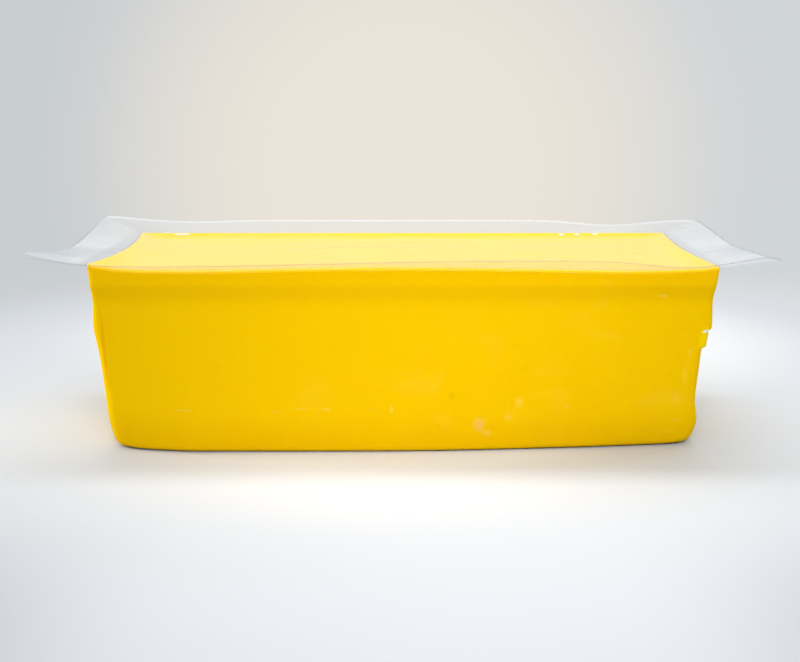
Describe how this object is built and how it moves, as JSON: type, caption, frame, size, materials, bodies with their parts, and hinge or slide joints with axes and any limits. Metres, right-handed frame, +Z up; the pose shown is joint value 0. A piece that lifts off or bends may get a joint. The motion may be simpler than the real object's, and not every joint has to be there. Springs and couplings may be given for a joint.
{
  "type": "vacuum-packed cheese loaf",
  "caption": "Long loaf of smooth yellow cheese, vacuum-packed in clear formed film with a thin sealed flange that curls up round its top.",
  "frame": {"origin": "on the table, under the middle of the film's outline", "axes": "+X along the loaf to the right of the shown long wall, +Y from the shown long wall to the hidden one, +Z up"},
  "size_m": [0.3492, 0.1522, 0.1056],
  "materials": {
    "cheese": "smooth bright yellow cheese, faintly clouded, satin",
    "formed_film": "clear colourless film, glossy, drawn tight over the cheese",
    "top_film": "clear colourless film, glossy, with a thin cut edge"
  },
  "bodies": {
    "root": {"cheese_block": "cheese", "pocket_film": "formed_film", "lid_film": "top_film"}
  },
  "joints": []
}
